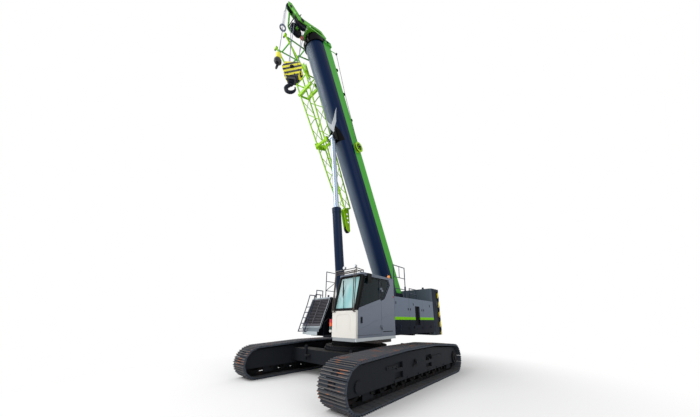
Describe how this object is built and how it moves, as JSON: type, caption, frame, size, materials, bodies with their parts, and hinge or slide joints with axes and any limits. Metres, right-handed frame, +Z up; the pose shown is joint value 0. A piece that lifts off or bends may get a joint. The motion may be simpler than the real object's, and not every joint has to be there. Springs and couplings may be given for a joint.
{
  "type": "telescopic boom crawler crane",
  "caption": "Crawler crane with a slewing upper, cab, telescoping box boom on a lift cylinder, hook block, ball hook and a lattice jib stowed beside the boom.",
  "frame": {"origin": "on the ground, on the slewing axis", "axes": "+Z up, -Y towards the front (the boom's side), +X towards the cab's side"},
  "size_m": [5.1, 8.3599, 13.6152],
  "materials": {
    "track_shoes": "dark weathered steel shoes",
    "undercarriage": "near-black paint",
    "slew_steel": "dark machined steel",
    "frame_paint": "dark blue-black paint",
    "cab_paint": "blue-grey gloss paint, off-white front",
    "glass": "tinted safety glass",
    "trim_black": "black trim",
    "seat": "dark seat cover",
    "hood_paint": "blue-grey gloss paint with a lime band",
    "counterweight": "dark grey-blue paint",
    "boom_navy": "navy gloss paint, green roof",
    "boom_green": "green paint",
    "jib_lime": "lime paint",
    "hook_yellow": "yellow paint with black bands",
    "hook_black": "black forged steel",
    "rope": "steel wire rope",
    "rod_chrome": "polished rod",
    "rail_blue": "dark blue-black tube",
    "lamp_lenses": "coloured lenses"
  },
  "bodies": {
    "carbody": {"carbody": "undercarriage", "slew_ring": "slew_steel", "track_frame_left": "undercarriage", "track_frame_right": "undercarriage", "track_loop_left": "track_shoes", "track_loop_right": "track_shoes", "track_wheels_left": "slew_steel", "track_wheels_right": "slew_steel"},
    "upper": {"slewing_frame": "frame_paint", "cab_shell": "cab_paint", "cab_glass": "glass", "cab_seat": "seat", "hood_left": "hood_paint", "hood_right": "hood_paint", "cooler_box": "hood_paint", "cooler_grille": "trim_black", "counterweight_lower": "counterweight", "counterweight_upper": "counterweight", "handrail_left": "rail_blue", "handrail_right": "rail_blue", "ladder": "rail_blue", "load_light": "lamp_lenses", "winch": "frame_paint", "cab_fittings": "trim_black"},
    "cab_door": {"cab_door": "cab_paint", "cab_door_glass": "glass"},
    "boom_base": {"boom_base": "boom_navy", "cable_reel": "trim_black", "jib": "jib_lime", "jib_sheave": "hook_black", "jib_brackets": "jib_lime"},
    "boom_section_2": {"boom_section_2": "boom_navy"},
    "boom_section_3": {"boom_section_3": "boom_navy"},
    "boom_section_4": {"boom_section_4": "boom_navy"},
    "boom_section_5": {"boom_section_5": "boom_navy", "boom_head": "boom_green", "head_sheaves": "hook_black"},
    "lift_rod": {"lift_rod": "rod_chrome"},
    "lift_barrel": {"lift_barrel": "boom_navy"},
    "hook_block": {"main_falls": "rope", "hook_block": "hook_yellow"},
    "main_hook": {"main_hook": "hook_black"},
    "aux_line": {"aux_line": "rope", "aux_ball": "hook_yellow"},
    "aux_hook": {"aux_hook": "hook_black"}
  },
  "joints": [
    {"name": "slew", "type": "hinge", "parent": "carbody", "child": "upper", "pos_m": [0, 0, 1.238], "axis": [0, 0, 1], "continuous": true},
    {"name": "cab_door_hinge", "type": "hinge", "parent": "upper", "child": "cab_door", "pos_m": [1.545, -0.496, 2.1], "axis": [0, 0, 1], "range_deg": [0, 165]},
    {"name": "luff", "type": "hinge", "parent": "upper", "child": "boom_base", "pos_m": [0, 2.304, 2.478], "axis": [-1, 0, 0], "range_deg": [-64.34, 15.66]},
    {"name": "lift_rod_pin", "type": "hinge", "parent": "boom_base", "child": "lift_rod", "pos_m": [0, -1.50329, 8.92515], "axis": [-1, 0, 0], "range_deg": [-16.49, 4.03]},
    {"name": "lift_stroke", "type": "slide", "parent": "lift_rod", "child": "lift_barrel", "axis": [0, 0.1102, -0.9939], "range_m": [-2.8884, 0.7045]},
    {"name": "telescope_2", "type": "slide", "parent": "boom_base", "child": "boom_section_2", "axis": [0, -0.433, 0.9014], "range_m": [0, 8.75]},
    {"name": "telescope_3", "type": "slide", "parent": "boom_section_2", "child": "boom_section_3", "axis": [0, -0.433, 0.9014], "range_m": [0, 8.75]},
    {"name": "telescope_4", "type": "slide", "parent": "boom_section_3", "child": "boom_section_4", "axis": [0, -0.433, 0.9014], "range_m": [0, 8.75]},
    {"name": "telescope_5", "type": "slide", "parent": "boom_section_4", "child": "boom_section_5", "axis": [0, -0.433, 0.9014], "range_m": [0, 8.75]},
    {"name": "main_falls_swing", "type": "hinge", "parent": "boom_section_5", "child": "hook_block", "pos_m": [0, -3.52907, 12.91102], "axis": [-1, 0, 0], "range_deg": [-15.68, 64.36]},
    {"name": "main_hook_swivel", "type": "hinge", "parent": "hook_block", "child": "main_hook", "pos_m": [0, -3.52907, 9.8], "axis": [0, 0, 1], "continuous": true},
    {"name": "aux_line_swing", "type": "hinge", "parent": "boom_section_5", "child": "aux_line", "pos_m": [0, -3.9461, 13.4096], "axis": [-1, 0, 0], "range_deg": [-15.68, 64.36]},
    {"name": "aux_hook_swivel", "type": "hinge", "parent": "aux_line", "child": "aux_hook", "pos_m": [0, -4.1049, 10.2], "axis": [0, 0, 1], "continuous": true}
  ],
  "couplings": [
    {"joint": "lift_rod_pin", "follows": "luff", "ratio": 0.25605},
    {"joint": "lift_stroke", "follows": "luff", "m_per_rad": 2.5703},
    {"joint": "main_falls_swing", "follows": "luff", "ratio": -1},
    {"joint": "aux_line_swing", "follows": "luff", "ratio": -1},
    {"joint": "telescope_3", "follows": "telescope_2", "ratio": 1},
    {"joint": "telescope_4", "follows": "telescope_2", "ratio": 1},
    {"joint": "telescope_5", "follows": "telescope_2", "ratio": 1}
  ]
}
